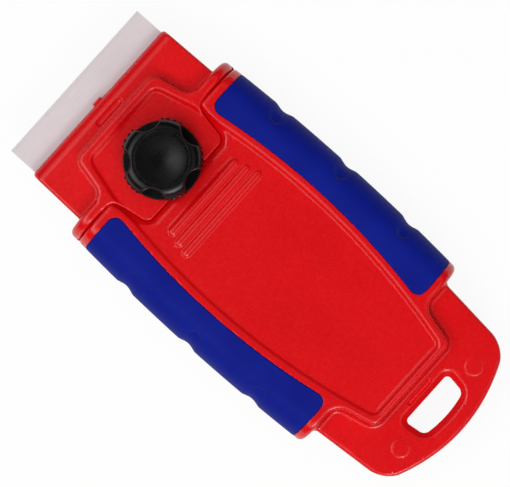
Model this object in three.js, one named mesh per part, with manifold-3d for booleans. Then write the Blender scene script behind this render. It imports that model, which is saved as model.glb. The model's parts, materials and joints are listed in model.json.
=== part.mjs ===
import * as THREE from "three";
import { mergeVertices } from "three/addons/utils/BufferGeometryUtils.js";
import Module from "manifold-3d";

// A hand scraper. A single-edge razor blade is clamped between the lower jaw, which is part of
// the bottom shell, and a loose upper jaw that a knob and bolt pull down onto it.
// Millimetres. +X points to the cutting edge, +Y to the left and +Z up to the knob.

// Handle
const HANDLE_HEIGHT = 13.6;
const HANDLE_WIDTH = 50.2;
const SIDE_BOW_RADIUS = 470;
const SIDE_ROUND = 6;
const FOOT = 0.4;
const FLANGE = 1.7;
const SHELL_WALL = 2;
const SHELL_GAP = 0.1;
const CELL_ROWS = 2;
const CELL_COLUMNS = 4;
const CELL_RIB = 1.8;

// Soft grips
const GRIP_LENGTH = 58.5;
const GRIP_SKIN = 1.5;
const GRIP_FIT = 0.1;
const GRIP_INNER_HALF = 16.7;
const GRIP_BOW_RADIUS = 156;
const GRIP_BOW_CENTRE = 1.7;
const GRIP_CORNER = 1.8;
const NOTCH_COUNT = 3;
const NOTCH_PITCH = 17.5;
const NOTCH_RADIUS = 2.5;
const NOTCH_DEPTH = 0.65;
const NOTCH_FADE = 0.1;

// Sunk panel on top of the handle, and the ridges on it
const PANEL_RECESS = 0.8;
const PANEL_SLOPE = 1.1;
const FRAME_STRIP = 1;
const RIDGE_COUNT = 3;
const RIDGE_PITCH = 2.5;
const RIDGE_WIDTH = 1.2;
const RIDGE_HEIGHT = 0.4;
const RIDGE_LENGTH = 20.8;
const RIDGE_GROWTH = 1.4;
const RIDGE_SETBACK = 4.8;

// Step behind the grips, where the panel runs out onto the tail
const STEP_LENGTH = 9;
const STEP_ROOT_WIDTH = 27.2;
const STEP_END_WIDTH = 22.9;
const STEP_CORNER = 1.5;
const STEP_FILLET = 2.2;

// Tail with the hang slot
const TAIL_LENGTH = 22.9;
const TAIL_THICKNESS = 6.4;
const TAIL_ROOT_WIDTH = 40.4;
const TAIL_END_WIDTH = 37.3;
const TAIL_END_BOW = 5;
const TAIL_CORNER = 4.5;
const SLOT_EDGE = 4;
const SLOT_LENGTH = 5.9;
const SLOT_WIDTH = 13.1;
const SLOT_END_WIDTH = 11.8;
const SLOT_BOW = 0.7;
const SLOT_CORNER = 1.1;
const SLOT_CHAMFER = 1.2;
const SLOT_SINK = 0.6;
const TAIL_BAR_SETBACK = 1.4;
const BAR_DEPTH = 0.3;
const TAIL_BAR_LENGTH = 7.2;
const TAIL_BAR_WIDTH = 0.9;
const MARK_DIAMETER = 3.8;
const MARK_DEPTH = 0.2;

// Jaws
const JAW_GAP = 0.5;
const EAR = 2.05;
const HEAD_LENGTH = 13.6;
const HEAD_CHEEK = 0.6;
const HEAD_FLARE = 0.4;
const HEAD_CORNER = 0.8;
const HEAD_RISE = 3.6;
const HEAD_LIP = 2.2;
const HEAD_BEVEL = 2.2;
const HEAD_BAR_LENGTH = 7.5;
const HEAD_BAR_WIDTH = 1.5;
const TAB_WIDTH = 2.2;
const TAB_REACH = 0.5;
const NOSE_LENGTH = 8.8;
const NOSE_FRONT_WIDTH = 23.4;
const NOSE_ROOT_WIDTH = 27.3;
const NOSE_CORNER = 1.7;
const NOSE_FILLET = 2.2;
const NOSE_RIM = 1.4;
const TONGUE_LENGTH = 9.05;
const TONGUE_ROOT_WIDTH = 26.2;
const TONGUE_END_WIDTH = 23;
const TONGUE_CORNER = 1.6;
const TONGUE_FILLET = 2;
const POCKET_FRONT_WIDTH = 19.2;
const POCKET_ROOT_WIDTH = 23.6;
const POCKET_CORNER = 0.8;
const JAW_WALL = 2.5;
const LOWER_JAW_DROP = 5.6;
const LOWER_JAW_LIP = 1.5;

// Blade
const BLADE_WIDTH = 39;
const BLADE_DEPTH = 19;
const BLADE_THICKNESS = 0.25;
const BLADE_BEVEL = 0.8;
const BLADE_EXPOSURE = 6.8;
const BLADE_TRAVEL = 3;
const BLADE_FIT = 0.06;
const BLADE_SIDE_FIT = 0.2;
const SPINE_DEPTH = 4.8;
const SPINE_THICKNESS = 1;

// Clamp bolt, nut, washer and knob
const BOLT_DIAMETER = 4;
const BOLT_FIT = 0.3;
const BOLT_MARGIN = 1.1;
const BOLT_HEAD_WIDTH = 7;
const BOLT_HEAD_HEIGHT = 2.8;
const BOLT_PROUD = 0.3;
const NUT_WIDTH = 7;
const NUT_HEIGHT = 3.2;
const NUT_SINK = 0.5;
const NUT_WALL = 2;
const HEX_FIT = 0.3;
const WASHER_DIAMETER = 9;
const WASHER_THICKNESS = 0.8;
const SEAT_FIT = 0.05;
const KNOB_DIAMETER = 16.5;
const KNOB_HEIGHT = 7.6;
const KNOB_FLANGE = 1.2;
const KNOB_TOP_ROUND = 1.2;
const KNOB_LOBES = 5;
const KNOB_CLOCK = 10;
const SCALLOP_RADIUS = 3.3;
const SCALLOP_DEPTH = 1.65;
const TEETH_PER_LOBE = 4;
const TOOTH_PITCH = 9.5;
const TOOTH_HEIGHT = 0.3;
const CAP_DIAMETER = 11.2;
const CAP_THICKNESS = 1.3;
const CAP_DISH = 0.6;
const CAP_EDGE = 0.3;
const CAP_FIT = 0.1;

// Screws that hold the shells together
const SCREW_DIAMETER = 2.2;
const SCREW_FIT = 0.3;
const SCREW_HEAD_DIAMETER = 4.2;
const SCREW_HEAD_HEIGHT = 1.4;
const SCREW_SINK = 0.3;
const SCREW_ROOF = 1.3;
const SCREW_TIP = 0.6;
const CROSS_LENGTH = 2.4;
const CROSS_WIDTH = 0.6;
const CROSS_DEPTH = 0.8;
const FRONT_SCREW_SETBACK = 4.6;
const FRONT_SCREW_SPREAD = 19;
const REAR_SCREW_INSET = 7;
const REAR_SCREW_SPREAD = 22.6;

// How far a cutting shape runs past the face it opens
const PAST = 2;
const CURVE_SEGMENTS = 4;
const ROUND_SEGMENTS = 20;
const FORM_STATIONS = 6;

// Places along the tool, and half widths of the head
const gripReach = GRIP_LENGTH / 2;
const handleFront = gripReach + FLANGE;
const handleRear = -handleFront;
const stepRear = handleRear - STEP_LENGTH;
const tailEnd = handleRear - TAIL_LENGTH;
const slotRear = tailEnd + SLOT_EDGE;
const slotFront = slotRear + SLOT_LENGTH;
const earRear = handleFront + JAW_GAP;
const earFront = earRear + EAR;
const noseFront = earFront + NOSE_LENGTH;
const headFront = earFront + HEAD_LENGTH;
const tongueRear = earRear - TONGUE_LENGTH;
const edgeTip = headFront + BLADE_EXPOSURE;
const bladeRear = edgeTip - BLADE_DEPTH;
const spineFront = bladeRear + SPINE_DEPTH;
const chamberRear = bladeRear - BLADE_TRAVEL - BLADE_SIDE_FIT;
const chamberFront = spineFront + BLADE_SIDE_FIT;
const boltX = bladeRear - BLADE_TRAVEL - BOLT_MARGIN - BOLT_DIAMETER / 2;
const headFrontHalf = BLADE_WIDTH / 2 + HEAD_CHEEK;
const headRootHalf = headFrontHalf + HEAD_FLARE;
const bedHalf = BLADE_WIDTH / 2 + BLADE_SIDE_FIT;
const frontScrewX = tongueRear - FRONT_SCREW_SETBACK;
const rearScrewX = tailEnd + REAR_SCREW_INSET;

// Heights above the surface that the tool lies on
const bladePlane = FOOT + HANDLE_HEIGHT / 2;
const handleTop = FOOT + HANDLE_HEIGHT;
const panelTop = handleTop - PANEL_RECESS;
const tailTop = bladePlane + TAIL_THICKNESS / 2;
const tailBottom = bladePlane - TAIL_THICKNESS / 2;
const headTop = bladePlane + HEAD_RISE;
const jawBottom = bladePlane + BLADE_THICKNESS / 2 + BLADE_FIT;
const bedTop = bladePlane - BLADE_THICKNESS / 2 - BLADE_FIT;
const chamberHalf = SPINE_THICKNESS / 2 + BLADE_FIT;
const spineFold = (SPINE_THICKNESS - BLADE_THICKNESS) / 2;
const cellTop = handleTop - GRIP_SKIN - GRIP_FIT - SHELL_WALL;
const cellBottom = FOOT + GRIP_SKIN + GRIP_FIT + SHELL_WALL;
const nutBottom = FOOT + NUT_SINK;
const nutTop = nutBottom + NUT_HEIGHT;
const knobBottom = panelTop + WASHER_THICKNESS + 2 * SEAT_FIT;
const knobTop = knobBottom + KNOB_HEIGHT;
const capBottom = knobTop - CAP_THICKNESS;
const boltHeadTop = capBottom - SEAT_FIT;
const boltHeadBottom = boltHeadTop - BOLT_HEAD_HEIGHT;
const boltEnd = nutBottom - BOLT_PROUD;

// Half widths that follow the two bows, seen from above
const sideHalf = (x) => HANDLE_WIDTH / 2 - x ** 2 / (2 * SIDE_BOW_RADIUS);
const gripInner = (x) => GRIP_INNER_HALF - (x - GRIP_BOW_CENTRE) ** 2 / (2 * GRIP_BOW_RADIUS);
const panelHalf = (x) => gripInner(x) - FRAME_STRIP - PANEL_SLOPE;

const wasm = await Module();
wasm.setup();

// A closed geometry as a solid that can be joined and cut
function solid(geometry) {
  geometry.deleteAttribute("normal");
  geometry.deleteAttribute("uv");
  const merged = mergeVertices(geometry);
  const vertProperties = new Float32Array(merged.attributes.position.array);
  const triVerts = new Uint32Array(merged.index.array);
  return new wasm.Manifold(new wasm.Mesh({ numProp: 3, vertProperties, triVerts }));
}

function meshOf(name, body, material) {
  const { vertProperties, triVerts } = body.getMesh();
  const geometry = new THREE.BufferGeometry();
  geometry.setAttribute("position", new THREE.BufferAttribute(vertProperties, 3));
  geometry.setIndex(new THREE.BufferAttribute(triVerts, 1));
  geometry.computeVertexNormals();
  const mesh = new THREE.Mesh(geometry, material);
  mesh.name = name;
  return mesh;
}

function joined(...pieces) {
  return pieces.reduce((whole, piece) => whole.add(piece));
}

function cut(body, ...tools) {
  return tools.reduce((left, tool) => left.subtract(tool), body);
}

// A closed shape through corners [x, y, radius], each rounded to its radius
function outline(corners) {
  const points = corners.flatMap(([x, y, radius], i) => {
    const corner = new THREE.Vector2(x, y);
    if (!radius) {
      return [corner];
    }
    const [beforeX, beforeY] = corners.at(i - 1);
    const [afterX, afterY] = corners[(i + 1) % corners.length];
    const back = new THREE.Vector2(beforeX, beforeY).sub(corner).normalize();
    const onward = new THREE.Vector2(afterX, afterY).sub(corner).normalize();
    const halfAngle = back.angleTo(onward) / 2;
    const reach = radius / Math.tan(halfAngle);
    const centre = back.clone().add(onward).setLength(radius / Math.sin(halfAngle)).add(corner);
    const start = back.clone().multiplyScalar(reach).add(corner).sub(centre).angle();
    const end = onward.clone().multiplyScalar(reach).add(corner).sub(centre).angle();
    const clockwise = back.cross(onward) > 0;
    const arc = new THREE.EllipseCurve(centre.x, centre.y, radius, radius, start, end, clockwise);
    return arc.getPoints(CURVE_SEGMENTS);
  });
  return new THREE.Shape(points);
}

// Corners of the left half, front to rear, and the same mirrored to the right
function mirrored(half) {
  const beside = half.filter(([, y]) => y !== 0);
  const right = beside.map(([x, y, radius]) => [x, -y, radius]).reverse();
  return outline([...half, ...right]);
}

// Corners along a bowed edge, from front to rear
function bowed(front, rear, steps, halfAt) {
  return Array.from({ length: steps + 1 }, (_, i) => {
    const x = front + ((rear - front) * i) / steps;
    return [x, halfAt(x), 0];
  });
}

function prism(shape, bottom, top) {
  const options = { depth: top - bottom, bevelEnabled: false };
  return solid(new THREE.ExtrudeGeometry(shape, options).translate(0, 0, bottom));
}

// A cutter whose ends narrow by slope over a height of rise; it is widest from bottom to top
function slopedCutter(shape, bottom, top, rise, slope) {
  const geometry = new THREE.ExtrudeGeometry(shape, {
    depth: top - bottom,
    bevelThickness: rise,
    bevelSize: slope,
    bevelSegments: 1,
  });
  return solid(geometry.translate(0, 0, bottom));
}

// A side view in X and Z, drawn out to a width in Y
function sideProfile(corners, width) {
  const options = { depth: width, bevelEnabled: false };
  const geometry = new THREE.ExtrudeGeometry(outline(corners), options);
  return solid(geometry.rotateX(Math.PI / 2).translate(0, width / 2, 0));
}

function block(rear, front, right, left, bottom, top) {
  const geometry = new THREE.BoxGeometry(front - rear, left - right, top - bottom);
  geometry.translate((front + rear) / 2, (left + right) / 2, (top + bottom) / 2);
  return solid(geometry);
}

function rod(diameter, bottom, top, x = 0, y = 0, sides = ROUND_SEGMENTS) {
  const geometry = new THREE.CylinderGeometry(diameter / 2, diameter / 2, top - bottom, sides);
  geometry.rotateX(Math.PI / 2).translate(x, y, (top + bottom) / 2);
  return solid(geometry);
}

// The width over the corners of a hexagon given across its flats
const hexCorners = (flats) => flats / Math.cos(Math.PI / 6);

function hexagon(flats, bottom, top, x = 0) {
  return rod(hexCorners(flats), bottom, top, x, 0, 6);
}

function lathed(profile) {
  const points = profile.map(([radius, z]) => new THREE.Vector2(radius, z));
  return solid(new THREE.LatheGeometry(points, ROUND_SEGMENTS).rotateX(Math.PI / 2));
}

// The round-sided bar that the handle is cut from, drawn in by inset all round
function handleBar(front, inset) {
  const width = HANDLE_WIDTH / 2 - inset;
  const round = SIDE_ROUND - inset;
  const height = HANDLE_HEIGHT / 2 - inset;
  const section = new THREE.Shape();
  section.absellipse(width - round, 0, round, height, -Math.PI / 2, Math.PI / 2);
  section.absellipse(round - width, 0, round, height, Math.PI / 2, 1.5 * Math.PI);
  const geometry = new THREE.ExtrudeGeometry(section, {
    depth: front - handleRear,
    steps: FORM_STATIONS,
    bevelEnabled: false,
    curveSegments: CURVE_SEGMENTS,
  });
  const sideways = new THREE.Vector3(0, 1, 0);
  const upright = new THREE.Vector3(0, 0, 1);
  const forward = new THREE.Vector3(1, 0, 0);
  geometry.applyMatrix4(new THREE.Matrix4().makeBasis(sideways, upright, forward));
  geometry.translate(handleRear, 0, bladePlane);
  const place = geometry.attributes.position;
  for (let i = 0; i < place.count; i += 1) {
    const share = (sideHalf(place.getX(i)) - inset) / width;
    place.setY(i, place.getY(i) * share);
  }
  return solid(geometry);
}

// The area of one grip seen from above, grown by fit; side is 1 for left and -1 for right
function gripArea(side, fit) {
  const reach = gripReach + fit;
  const [front, ...edge] = bowed(reach, -reach, 2 * FORM_STATIONS, gripInner);
  const rear = edge.pop();
  const beyond = HANDLE_WIDTH / 2 + PAST;
  const corners = [
    [front[0], front[1] - fit, GRIP_CORNER + fit],
    ...edge.map(([x, y]) => [x, y - fit, 0]),
    [rear[0], rear[1] - fit, GRIP_CORNER + fit],
    [-reach, beyond, 0],
    [reach, beyond, 0],
  ];
  return outline(corners.map(([x, y, radius]) => [x, side * y, radius]));
}

// A scoop that runs round the side of a grip and fades out on its top and underside
function notch(side, x) {
  const across = SIDE_ROUND + NOTCH_RADIUS - NOTCH_DEPTH;
  const up = HANDLE_HEIGHT / 2 + NOTCH_RADIUS + NOTCH_FADE;
  const centre = sideHalf(x) - SIDE_ROUND;
  const path = Array.from({ length: 11 }, (_, i) => {
    const angle = Math.PI / 2 - (Math.PI * i) / 10;
    const y = side * (centre + across * Math.cos(angle));
    return new THREE.Vector3(x, y, bladePlane + up * Math.sin(angle));
  });
  const section = new THREE.Shape().absarc(0, 0, NOTCH_RADIUS, 0, 2 * Math.PI);
  const geometry = new THREE.ExtrudeGeometry(section, {
    steps: 10,
    extrudePath: new THREE.CatmullRomCurve3(path),
    curveSegments: 6,
  });
  return solid(geometry);
}

// The whole soft skin of one side, before it is parted into its upper and lower piece
function gripSkin(side) {
  const area = prism(gripArea(side, 0), FOOT - PAST, handleTop + PAST);
  const skin = handleBar(handleFront, 0).subtract(handleBar(handleFront, GRIP_SKIN));
  const first = -(NOTCH_PITCH * (NOTCH_COUNT - 1)) / 2;
  const notches = Array.from({ length: NOTCH_COUNT }, (_, i) => notch(side, first + NOTCH_PITCH * i));
  return cut(skin.intersect(area), ...notches);
}

function above(height) {
  return block(tailEnd - PAST, edgeTip + PAST, -HANDLE_WIDTH, HANDLE_WIDTH, height, knobTop + PAST);
}

function below(height) {
  return block(tailEnd - PAST, edgeTip + PAST, -HANDLE_WIDTH, HANDLE_WIDTH, FOOT - PAST, height);
}

// What both shells lose to the grips
function gripBeds() {
  const core = handleBar(handleFront, GRIP_SKIN + GRIP_FIT);
  const left = prism(gripArea(1, GRIP_FIT), FOOT - PAST, handleTop + PAST);
  const right = prism(gripArea(-1, GRIP_FIT), FOOT - PAST, handleTop + PAST);
  return left.add(right).subtract(core);
}

// Moulding cells in the closed inside of a shell, with ribs between them
function cells(bottom, top) {
  const half = HANDLE_WIDTH / 2 - SIDE_ROUND;
  const width = (2 * half - CELL_RIB * (CELL_COLUMNS - 1)) / CELL_COLUMNS;
  const front = frontScrewX - SCREW_HEAD_DIAMETER / 2 - SHELL_WALL;
  const rear = SHELL_WALL - gripReach;
  const length = (front - rear - CELL_RIB * (CELL_ROWS - 1)) / CELL_ROWS;
  const found = [];
  for (let row = 0; row < CELL_ROWS; row += 1) {
    const cellRear = rear + row * (length + CELL_RIB);
    for (let column = 0; column < CELL_COLUMNS; column += 1) {
      const right = -half + column * (width + CELL_RIB);
      found.push(block(cellRear, cellRear + length, right, right + width, bottom, top));
    }
  }
  return found;
}

function tailShape() {
  const half = TAIL_END_WIDTH / 2;
  const end = [1, 0.75, 0.5, 0.25, 0].map((share) => {
    return [tailEnd + TAIL_END_BOW * share ** 2, share * half, 0];
  });
  end[0][2] = TAIL_CORNER;
  return mirrored([[handleRear + FLANGE / 2, TAIL_ROOT_WIDTH / 2, 0], ...end]);
}

function slotShape() {
  const half = SLOT_END_WIDTH / 2;
  return mirrored([
    [slotFront, SLOT_WIDTH / 2, SLOT_CORNER],
    [slotRear + SLOT_BOW, half, SLOT_CORNER],
    [slotRear + SLOT_BOW / 4, half / 2, 0],
    [slotRear, 0, 0],
  ]);
}

function stepShape() {
  const root = STEP_ROOT_WIDTH / 2;
  return mirrored([
    [handleRear + FLANGE / 2, root + 2 * STEP_FILLET, 0],
    [handleRear, root + 2 * STEP_FILLET, 0],
    [handleRear, root, STEP_FILLET],
    [stepRear, STEP_END_WIDTH / 2, STEP_CORNER],
  ]);
}

function panelShape() {
  const rear = stepRear + FRAME_STRIP + PANEL_SLOPE;
  const edge = bowed(earRear, rear, 2 * FORM_STATIONS, panelHalf);
  edge.at(-1)[2] = POCKET_CORNER;
  return mirrored(edge);
}

// The flat sole under the handle
function soleShape() {
  const rear = stepRear + FRAME_STRIP;
  const edge = bowed(handleFront - FLANGE, rear, 2 * FORM_STATIONS, (x) => gripInner(x) - FRAME_STRIP);
  edge[0][2] = STEP_CORNER;
  edge.at(-1)[2] = STEP_CORNER;
  return mirrored(edge);
}

function barShape(x, width, length) {
  const round = 0.4 * width;
  return mirrored([
    [x + width / 2, length / 2, round],
    [x - width / 2, length / 2, round],
  ]);
}

function ridges() {
  return Array.from({ length: RIDGE_COUNT }, (_, i) => {
    const x = tongueRear - RIDGE_SETBACK - RIDGE_PITCH * i;
    const shape = barShape(x, RIDGE_WIDTH, RIDGE_LENGTH + RIDGE_GROWTH * i);
    return prism(shape, panelTop - PANEL_RECESS, panelTop + RIDGE_HEIGHT);
  });
}

function headShape() {
  return mirrored([
    [headFront, headFrontHalf, HEAD_CORNER],
    [earRear, headRootHalf, 0],
  ]);
}

// Nose, ears and tongue of the upper jaw
function jawShape() {
  return mirrored([
    [noseFront, NOSE_FRONT_WIDTH / 2, NOSE_CORNER],
    [earFront, NOSE_ROOT_WIDTH / 2, NOSE_FILLET],
    [earFront, HANDLE_WIDTH / 2, 0],
    [earRear, HANDLE_WIDTH / 2, 0],
    [earRear, TONGUE_ROOT_WIDTH / 2, TONGUE_FILLET],
    [tongueRear, TONGUE_END_WIDTH / 2, TONGUE_CORNER],
  ]);
}

// The opening in the top shell that the tongue drops into
function tongueOpening() {
  return mirrored([
    [earFront, HANDLE_WIDTH / 2, 0],
    [handleFront, HANDLE_WIDTH / 2, 0],
    [handleFront, TONGUE_ROOT_WIDTH / 2 + JAW_GAP, TONGUE_FILLET - JAW_GAP],
    [tongueRear - JAW_GAP, TONGUE_END_WIDTH / 2 + JAW_GAP, TONGUE_CORNER + JAW_GAP],
  ]);
}

function pocketShape() {
  const front = noseFront - NOSE_RIM - PANEL_SLOPE;
  return mirrored([
    [front, POCKET_FRONT_WIDTH / 2, POCKET_CORNER],
    [earRear, POCKET_ROOT_WIDTH / 2, 0],
    [tongueRear - PAST, TONGUE_END_WIDTH / 2 + PAST, 0],
  ]);
}

const screwPlaces = [
  { x: frontScrewX, y: FRONT_SCREW_SPREAD / 2, bottom: FOOT, top: cellTop },
  { x: frontScrewX, y: -FRONT_SCREW_SPREAD / 2, bottom: FOOT, top: cellTop },
  { x: rearScrewX, y: REAR_SCREW_SPREAD / 2, bottom: tailBottom, top: tailTop - SCREW_ROOF },
  { x: rearScrewX, y: -REAR_SCREW_SPREAD / 2, bottom: tailBottom, top: tailTop - SCREW_ROOF },
];

function screwHoles({ x, y, bottom, top }) {
  const seat = bottom + SCREW_SINK + SCREW_HEAD_HEIGHT;
  const sunk = rod(SCREW_HEAD_DIAMETER + SCREW_FIT, FOOT - PAST, seat, x, y);
  return sunk.add(rod(SCREW_DIAMETER + SCREW_FIT, seat - SCREW_SINK, top + SCREW_FIT, x, y));
}

function topShell() {
  const split = bladePlane + SHELL_GAP / 2;
  const marks = [1, -1].map((side) => {
    const y = (side * REAR_SCREW_SPREAD) / 2;
    return rod(MARK_DIAMETER, tailTop - MARK_DEPTH, tailTop + PAST, rearScrewX, y);
  });
  const barX = slotFront + TAIL_BAR_SETBACK + TAIL_BAR_WIDTH / 2;
  const bar = barShape(barX, TAIL_BAR_WIDTH, TAIL_BAR_LENGTH);
  const shell = cut(
    joined(
      handleBar(handleFront, 0).intersect(above(split)),
      prism(stepShape(), split, handleTop),
      prism(tailShape(), split, tailTop),
    ),
    gripBeds(),
    ...cells(bladePlane - PAST, cellTop),
    prism(tongueOpening(), bladePlane - PAST, handleTop + PAST),
    slopedCutter(panelShape(), handleTop, handleTop + PAST, PANEL_RECESS, PANEL_SLOPE),
    prism(slotShape(), bladePlane - PAST, tailTop + PAST),
    slopedCutter(slotShape(), tailTop, tailTop + PAST, SLOT_SINK, SLOT_CHAMFER),
    prism(bar, tailTop - BAR_DEPTH, tailTop + PAST),
    ...marks,
    ...screwPlaces.map(screwHoles),
  );
  return joined(shell, ...ridges());
}

function bottomShell() {
  const split = bladePlane - SHELL_GAP / 2;
  const root = handleFront - FLANGE / 2;
  const wedge = sideProfile(
    [
      [root, bladePlane - LOWER_JAW_DROP, 0],
      [headFront, bladePlane - LOWER_JAW_LIP, 0],
      [headFront, split, 0],
      [root, split, 0],
    ],
    HANDLE_WIDTH,
  );
  const plate = joined(
    prism(headShape(), FOOT, split),
    block(root, earFront, -headRootHalf, headRootHalf, FOOT, split),
  );
  const ears = block(earRear, earFront, -HANDLE_WIDTH, HANDLE_WIDTH, FOOT, split);
  return cut(
    joined(
      handleBar(handleFront, 0).intersect(below(split)),
      prism(stepShape(), FOOT, split),
      prism(soleShape(), 0, split),
      prism(tailShape(), tailBottom, split),
      plate.intersect(wedge),
      ears.intersect(handleBar(earFront, 0)),
      rod(hexCorners(NUT_WIDTH) + 2 * NUT_WALL, FOOT, split, boltX),
    ),
    gripBeds(),
    ...cells(cellBottom, bladePlane + PAST),
    block(chamberRear, headFront + PAST, -bedHalf, bedHalf, bedTop, bladePlane + PAST),
    block(chamberRear, chamberFront, -bedHalf, bedHalf, bladePlane - chamberHalf, bladePlane + PAST),
    hexagon(NUT_WIDTH + HEX_FIT, -PAST, nutTop + SEAT_FIT, boltX),
    rod(BOLT_DIAMETER + BOLT_FIT, -PAST, bladePlane + PAST, boltX),
    prism(slotShape(), tailBottom - PAST, bladePlane + PAST),
    slopedCutter(slotShape(), tailBottom - PAST, tailBottom, SLOT_SINK, SLOT_CHAMFER),
    ...screwPlaces.map(screwHoles),
  );
}

// Hollows moulded into the underside of the jaw on one side of the bolt; side is 1 or -1
function jawCores(side) {
  const roof = panelTop - JAW_WALL;
  const outer = side * (POCKET_FRONT_WIDTH / 2);
  const boss = side * (BOLT_DIAMETER / 2 + BOLT_FIT + JAW_WALL);
  const rib = side * (CELL_RIB / 2);
  const between = (rear, front, y) => {
    return block(rear, front, Math.min(y, outer), Math.max(y, outer), bladePlane - PAST, roof);
  };
  return [
    between(tongueRear + JAW_WALL, chamberRear - CELL_RIB, boss),
    between(chamberRear + CELL_RIB, chamberFront - CELL_RIB, rib),
  ];
}

function clampJaw() {
  const lip = bladePlane + HEAD_LIP;
  const side = sideProfile(
    [
      [earRear, jawBottom, 0],
      [headFront, jawBottom, 0],
      [headFront, lip, 0],
      [headFront - HEAD_BEVEL, headTop, 0],
      [earRear, headTop, 0],
    ],
    HANDLE_WIDTH,
  );
  const tabHalf = TAB_WIDTH / 2;
  const barX = (noseFront + headFront - HEAD_BEVEL) / 2;
  const bar = barShape(barX, HEAD_BAR_WIDTH, HEAD_BAR_LENGTH);
  return cut(
    joined(
      prism(headShape(), jawBottom, headTop).intersect(side),
      prism(jawShape(), jawBottom, handleTop).intersect(handleBar(noseFront, 0)),
      block(headFront - TAB_REACH, headFront + TAB_REACH, -tabHalf, tabHalf, jawBottom, lip - BAR_DEPTH),
    ),
    slopedCutter(pocketShape(), handleTop, handleTop + PAST, PANEL_RECESS, PANEL_SLOPE),
    block(chamberRear, chamberFront, -bedHalf, bedHalf, bladePlane - PAST, bladePlane + chamberHalf),
    rod(BOLT_DIAMETER + BOLT_FIT, bladePlane - PAST, handleTop + PAST, boltX),
    prism(bar, headTop - BAR_DEPTH, headTop + PAST),
    ...jawCores(1),
    ...jawCores(-1),
  );
}

function bladeStrip() {
  const half = BLADE_THICKNESS / 2;
  const rear = bladeRear + spineFold + SEAT_FIT;
  const bevel = edgeTip - BLADE_BEVEL;
  const profile = [
    [rear, bladePlane - half, 0],
    [bevel, bladePlane - half, 0],
    [edgeTip, bladePlane, 0],
    [bevel, bladePlane + half, 0],
    [rear, bladePlane + half, 0],
  ];
  return sideProfile(profile, BLADE_WIDTH);
}

// A strip folded over the back of the blade
function bladeSpine() {
  const half = SPINE_THICKNESS / 2;
  const slot = BLADE_THICKNESS / 2 + SEAT_FIT;
  const round = 0.8 * half;
  const profile = [
    [bladeRear, bladePlane - half, round],
    [spineFront, bladePlane - half, 0],
    [spineFront, bladePlane - slot, 0],
    [bladeRear + spineFold, bladePlane - slot, 0],
    [bladeRear + spineFold, bladePlane + slot, 0],
    [spineFront, bladePlane + slot, 0],
    [spineFront, bladePlane + half, 0],
    [bladeRear, bladePlane + half, round],
  ];
  return sideProfile(profile, BLADE_WIDTH);
}

// The knob's outline from above: a circle with a few ribs on each lobe
function knobShape() {
  const radius = KNOB_DIAMETER / 2;
  const lobe = 360 / KNOB_LOBES;
  const points = [];
  const add = (angle, reach) => {
    const turn = THREE.MathUtils.degToRad(angle);
    points.push(new THREE.Vector2(reach * Math.cos(turn), reach * Math.sin(turn)));
  };
  for (let i = 0; i < KNOB_LOBES; i += 1) {
    const middle = KNOB_CLOCK + lobe * i;
    for (let tooth = 0; tooth < TEETH_PER_LOBE; tooth += 1) {
      const crest = middle + TOOTH_PITCH * (tooth - (TEETH_PER_LOBE - 1) / 2);
      add(crest - TOOTH_PITCH / 3, radius);
      add(crest, radius + TOOTH_HEIGHT);
      add(crest + TOOTH_PITCH / 3, radius);
    }
    const bare = lobe - TOOTH_PITCH * TEETH_PER_LOBE;
    const start = middle + (TOOTH_PITCH * TEETH_PER_LOBE) / 2;
    [0, 0.25, 0.5, 0.75, 1].forEach((share) => add(start + share * bare, radius));
  }
  return new THREE.Shape(points);
}

// One hollow between two lobes; it leans outward so that it leaves the knob's base round
function scallop(angle) {
  const lean = Math.atan(SCALLOP_DEPTH / (KNOB_HEIGHT - KNOB_FLANGE));
  const reach = KNOB_DIAMETER / 2 - SCALLOP_DEPTH + SCALLOP_RADIUS;
  const length = 4 * KNOB_HEIGHT;
  const geometry = new THREE.CylinderGeometry(SCALLOP_RADIUS, SCALLOP_RADIUS, length, ROUND_SEGMENTS);
  geometry.rotateX(Math.PI / 2).rotateY(-lean).translate(reach, 0, knobTop);
  return solid(geometry.rotateZ(THREE.MathUtils.degToRad(angle)));
}

function clampKnob() {
  const wide = KNOB_DIAMETER / 2 + 2 * TOOTH_HEIGHT;
  const round = [0, 30, 60, 90].map((angle) => {
    const turn = THREE.MathUtils.degToRad(angle);
    const inward = KNOB_TOP_ROUND * (1 - Math.cos(turn));
    return [wide - inward, knobTop - KNOB_TOP_ROUND * (1 - Math.sin(turn))];
  });
  const envelope = lathed([[0, knobBottom], [wide, knobBottom], ...round, [0, knobTop]]);
  const lobe = 360 / KNOB_LOBES;
  const scallops = Array.from({ length: KNOB_LOBES }, (_, i) => {
    return scallop(KNOB_CLOCK + lobe * (i + 0.5));
  });
  return cut(
    prism(knobShape(), knobBottom, knobTop).intersect(envelope),
    ...scallops,
    rod(CAP_DIAMETER + CAP_FIT, capBottom - SEAT_FIT, knobTop + PAST),
    hexagon(BOLT_HEAD_WIDTH + HEX_FIT, boltHeadBottom - SEAT_FIT, knobTop + PAST),
    rod(BOLT_DIAMETER + BOLT_FIT, knobBottom - PAST, knobTop),
  );
}

function knobCap() {
  const radius = CAP_DIAMETER / 2;
  const dish = [1, 2 / 3, 1 / 3, 0].map((share) => {
    return [share * (radius - CAP_EDGE), knobTop - CAP_DISH * (1 - share ** 2)];
  });
  return lathed([[0, capBottom], [radius, capBottom], [radius, knobTop - CAP_EDGE], ...dish]);
}

function clampBolt() {
  const head = hexagon(BOLT_HEAD_WIDTH, boltHeadBottom, boltHeadTop);
  return head.add(rod(BOLT_DIAMETER, boltEnd, boltHeadTop));
}

function clampWasher() {
  const bottom = panelTop + SEAT_FIT;
  const ring = rod(WASHER_DIAMETER, bottom, bottom + WASHER_THICKNESS);
  return cut(ring, rod(BOLT_DIAMETER + BOLT_FIT, bladePlane, knobTop));
}

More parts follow.
